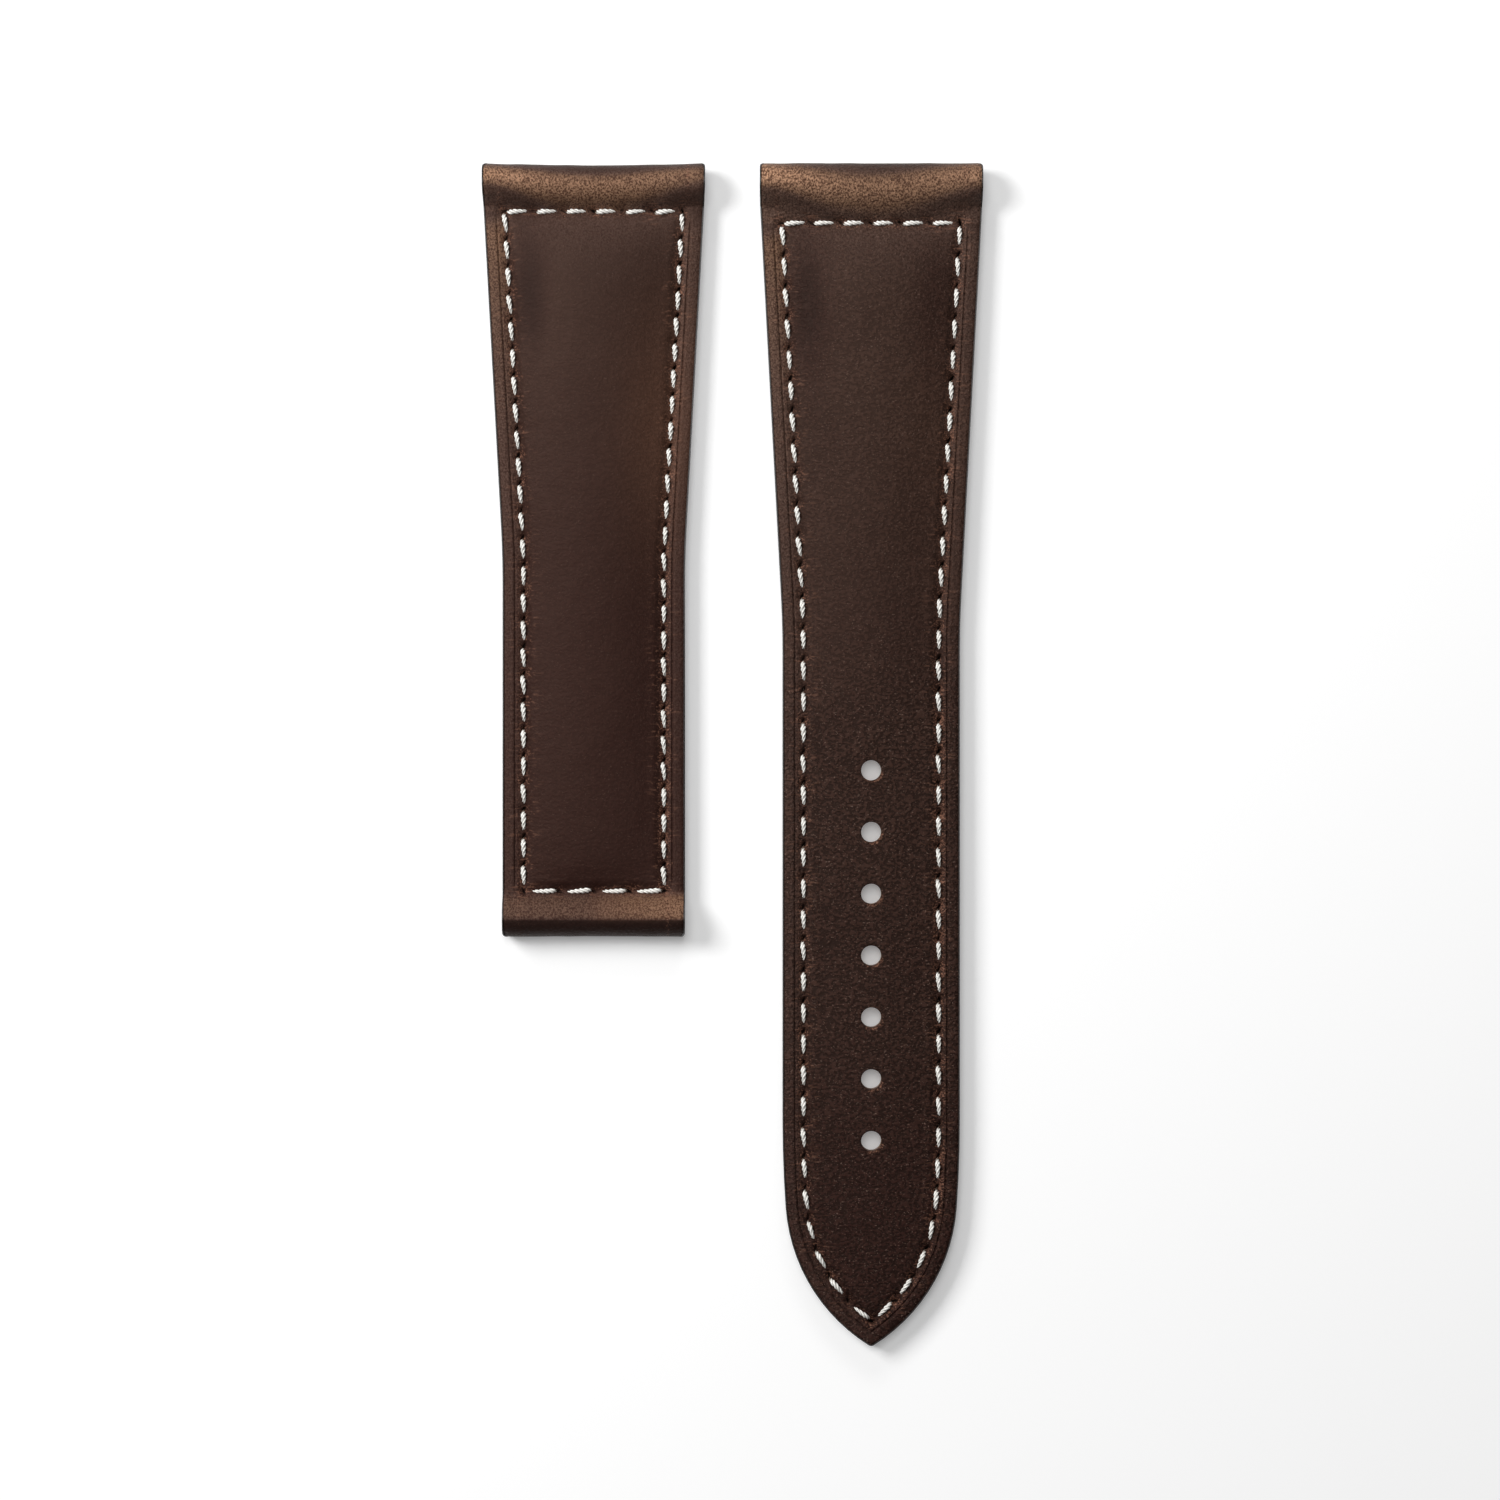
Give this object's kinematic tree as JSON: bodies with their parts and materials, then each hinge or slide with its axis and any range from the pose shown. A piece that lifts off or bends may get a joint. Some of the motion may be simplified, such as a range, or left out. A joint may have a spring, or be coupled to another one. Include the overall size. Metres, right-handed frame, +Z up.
{
  "type": "leather watch strap",
  "caption": "Two-piece padded leather watch strap with folded bar loops, a contrasting saddle seam, a row of punched holes and a pointed tail, laid flat.",
  "frame": {"origin": "middle of the bottom of the box round both halves as they lie side by side", "axes": "+Z up through the grain side, +Y along both halves towards the watch ends, +X from the short half to the long half"},
  "size_m": [0.0494, 0.1168, 0.004],
  "materials": {
    "top_leather": "dark brown smooth calf leather, semi-matt with a fine grain",
    "lining_leather": "plain mid-brown lining calf, matt",
    "padding": "pressed fibre filler, crowned",
    "tape": "thin woven reinforcement tape",
    "thread": "off-white twisted polyester thread",
    "edge_paint": "near-black flexible edge paint"
  },
  "bodies": {
    "short_half": {"short_top_leather": "top_leather", "short_padding": "padding", "short_tape": "tape", "short_lining": "lining_leather", "short_needle_thread": "thread", "short_bobbin_thread": "thread", "short_edge_paint": "edge_paint"},
    "long_half": {"long_top_leather": "top_leather", "long_padding": "padding", "long_tape": "tape", "long_lining": "lining_leather", "long_needle_thread": "thread", "long_bobbin_thread": "thread", "long_edge_paint": "edge_paint"}
  },
  "joints": [
    {"name": "lift_off", "type": "slide", "parent": "short_half", "child": "long_half", "axis": [0, 0, 1], "range_m": [0, 0.03]}
  ]
}
